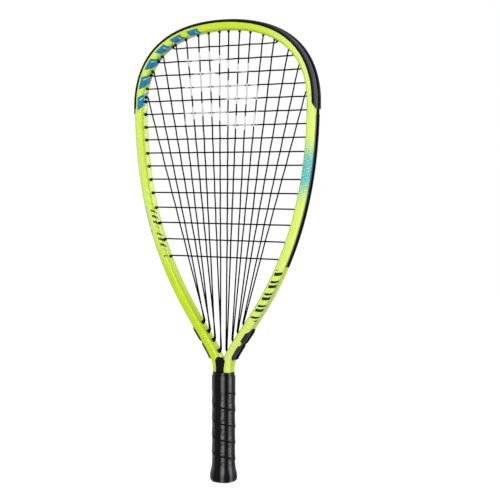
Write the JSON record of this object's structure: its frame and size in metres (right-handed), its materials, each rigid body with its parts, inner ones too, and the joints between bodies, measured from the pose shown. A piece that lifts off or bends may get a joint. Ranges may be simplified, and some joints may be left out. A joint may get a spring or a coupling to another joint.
{
  "type": "racquetball racket",
  "caption": "Short strung racket with a teardrop head, a forked throat and a wrapped handle that ends in a flared butt cap.",
  "frame": {"origin": "centre of the bottom of the butt cap", "axes": "+Z from the butt cap to the top of the head, +X across the string bed to the right as seen from the front, front face towards -Y"},
  "size_m": [0.2604, 0.03, 0.559],
  "materials": {
    "lime_lacquer": "glossy lacquer over a thin-walled tube",
    "black_plastic": "satin moulded plastic",
    "string_black": "smooth synthetic string",
    "pallet_foam": "moulded foam, hidden",
    "grip_tape": "smooth wound tape with a slight sheen",
    "black_rubber": "satin rubber",
    "cap_plastic": "satin moulded plastic"
  },
  "bodies": {
    "root": {"frame": "lime_lacquer", "bumper_guard": "black_plastic", "grommet_strip_right": "black_plastic", "grommet_strip_left": "black_plastic", "throat_grommet_right": "black_plastic", "throat_grommet_left": "black_plastic", "throat_bridge": "black_plastic", "main_string": "string_black", "cross_string": "string_black", "pallet_front": "pallet_foam", "pallet_back": "pallet_foam", "grip_wrap": "grip_tape", "grip_collar": "black_rubber", "butt_cap": "cap_plastic"}
  },
  "joints": []
}
